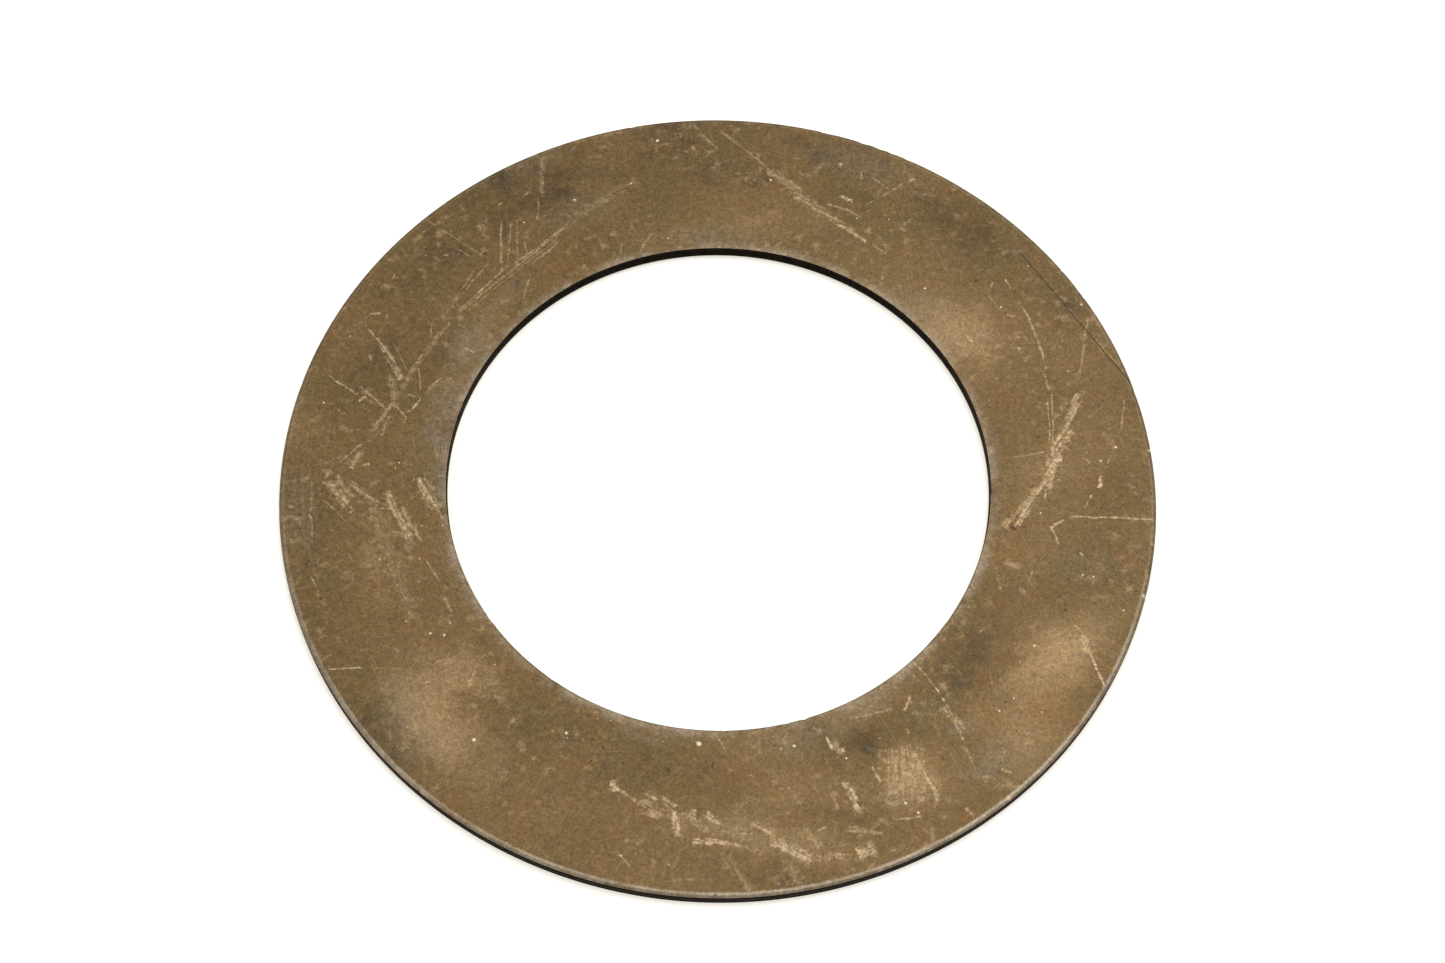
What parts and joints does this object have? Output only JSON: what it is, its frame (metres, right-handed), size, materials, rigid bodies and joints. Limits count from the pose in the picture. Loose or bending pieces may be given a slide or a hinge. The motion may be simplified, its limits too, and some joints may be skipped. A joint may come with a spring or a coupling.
{
  "type": "flat washer",
  "caption": "Thin flat steel washer: a wide plain ring with a large round bore and brown oxidised faces, for spacing or taking thrust on a shaft or large bolt.",
  "frame": {"origin": "centre of the bore on the lower bearing face", "axes": "+Z along the bore's axis, out of the upper bearing face; X and Y lie in the lower face, and the ring is the same all the way round"},
  "size_m": [0.1, 0.1, 0.0016],
  "materials": {
    "oxidised_steel": "satin brown oxide, worn grey at the edges, with fine scratches"
  },
  "bodies": {
    "root": {"washer": "oxidised_steel"}
  },
  "joints": []
}
